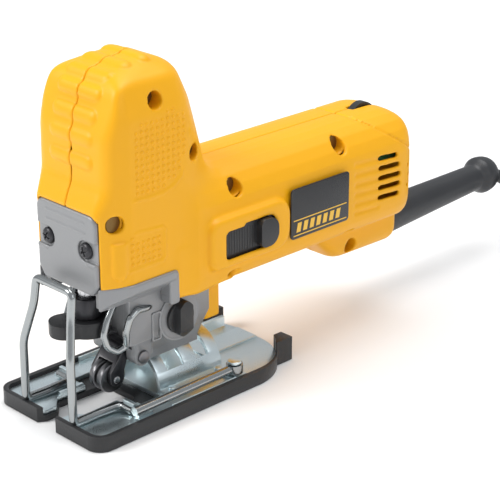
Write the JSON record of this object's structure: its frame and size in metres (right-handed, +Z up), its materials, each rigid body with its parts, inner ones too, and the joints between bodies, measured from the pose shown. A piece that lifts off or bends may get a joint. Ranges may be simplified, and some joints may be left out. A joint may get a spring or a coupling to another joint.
{
  "type": "jigsaw power tool",
  "caption": "Corded body-grip jigsaw with a tilting shoe, wire blade guard, pendulum roller, slide switch and mains lead.",
  "frame": {"origin": "on the sole, on the centre line of the shoe, below the front of the saddle", "axes": "+Z up from the sole, -Y the cutting direction, +X the operator's left (the switch side)"},
  "size_m": [0.1113, 0.4745, 0.1705],
  "materials": {
    "yellow_plastic": "satin",
    "black_plastic": "matte",
    "grey_casting": "satin",
    "zinc_plate": "satin",
    "chrome_wire": "polished",
    "ground_steel": "polished",
    "black_steel": "satin",
    "gear_steel": "satin",
    "bronze": "satin",
    "copper_wire": "gloss",
    "core_steel": "matte",
    "carbon": "matte",
    "rubber": "matte",
    "board": "satin"
  },
  "bodies": {
    "tool": {"housing_left": "yellow_plastic", "housing_right": "yellow_plastic", "housing_screws": "black_steel", "side_badges": "black_plastic", "gear_case": "grey_casting", "front_bearing": "ground_steel", "gear_axle": "ground_steel", "plunger_bush": "bronze", "rod_seal": "rubber", "front_plate": "grey_casting", "plate_screws": "black_steel", "stator_core": "core_steel", "stator_windings": "copper_wire", "rear_bearing": "ground_steel", "carbon_brushes": "carbon", "brush_holders": "bronze", "switch_body": "black_plastic", "electronics_module": "board", "fork_pin": "ground_steel", "clamp_bar": "gear_steel", "clamp_bolts": "black_steel", "finger_guard": "chrome_wire", "cord_guard": "rubber", "power_cord": "rubber", "plug_cord": "rubber", "cord_coil": "rubber", "plug": "black_plastic", "plug_pins": "bronze"},
    "armature": {"armature_shaft": "ground_steel", "pinion": "gear_steel", "armature_core": "core_steel", "armature_windings": "copper_wire", "commutator": "copper_wire", "cooling_fan": "black_plastic"},
    "gear": {"drive_gear": "gear_steel", "gear_bush": "bronze", "crank_pin": "ground_steel"},
    "plunger": {"plunger_rod": "ground_steel", "yoke": "gear_steel", "blade_clamp": "black_steel"},
    "lever": {"clamp_lever": "black_plastic"},
    "fork": {"pendulum_fork": "black_steel", "roller_pin": "ground_steel"},
    "roller": {"guide_roller": "gear_steel"},
    "selector": {"selector_knob": "black_plastic", "selector_shaft": "ground_steel"},
    "shoe": {"overshoe": "black_plastic", "shoe_plate": "zinc_plate", "saddle": "zinc_plate", "saddle_rivets": "zinc_plate", "lever_bracket": "zinc_plate", "wire_guard": "chrome_wire", "guard_clips": "zinc_plate"},
    "rod_lever": {"shoe_lever": "chrome_wire"},
    "slider": {"switch_slider": "black_plastic"},
    "dial": {"speed_dial": "black_plastic"}
  },
  "joints": [
    {"name": "gear_spin", "type": "hinge", "parent": "tool", "child": "gear", "pos_m": [0, -0.028, 0.1025], "axis": [0, 1, 0], "continuous": true},
    {"name": "armature_spin", "type": "hinge", "parent": "tool", "child": "armature", "pos_m": [0, 0, 0.0815], "axis": [0, 1, 0], "continuous": true},
    {"name": "plunger_slide", "type": "slide", "parent": "tool", "child": "plunger", "axis": [0, 0, 1], "range_m": [-0.013, 0.013]},
    {"name": "clamp_lever_turn", "type": "hinge", "parent": "plunger", "child": "lever", "pos_m": [0, -0.041, 0.045], "axis": [0, 0, 1], "range_deg": [0, 50], "stiffness_Nm_per_rad": 0.05},
    {"name": "fork_swing", "type": "hinge", "parent": "tool", "child": "fork", "pos_m": [0, -0.021, 0.026], "axis": [1, 0, 0], "range_deg": [-6, 3]},
    {"name": "roller_spin", "type": "hinge", "parent": "fork", "child": "roller", "pos_m": [0, -0.0305, 0.0142], "axis": [1, 0, 0], "continuous": true},
    {"name": "selector_turn", "type": "hinge", "parent": "tool", "child": "selector", "pos_m": [0.024, -0.003, 0.043], "axis": [1, 0, 0], "range_deg": [0, 90]},
    {"name": "shoe_tilt", "type": "hinge", "parent": "tool", "child": "shoe", "pos_m": [0, 0, 0.0055], "axis": [0, 1, 0], "range_deg": [-30, 45]},
    {"name": "shoe_lever_swing", "type": "hinge", "parent": "shoe", "child": "rod_lever", "pos_m": [0.031, 0.0235, 0.01], "axis": [0, 0, 1], "range_deg": [0, 70]},
    {"name": "switch_slide", "type": "slide", "parent": "tool", "child": "slider", "axis": [0, -1, 0], "range_m": [0, 0.008]},
    {"name": "speed_dial_turn", "type": "hinge", "parent": "tool", "child": "dial", "pos_m": [0, 0.144, 0.102], "axis": [1, 0, 0], "range_deg": [0, 270]}
  ],
  "couplings": [
    {"joint": "armature_spin", "follows": "gear_spin", "ratio": -5}
  ]
}
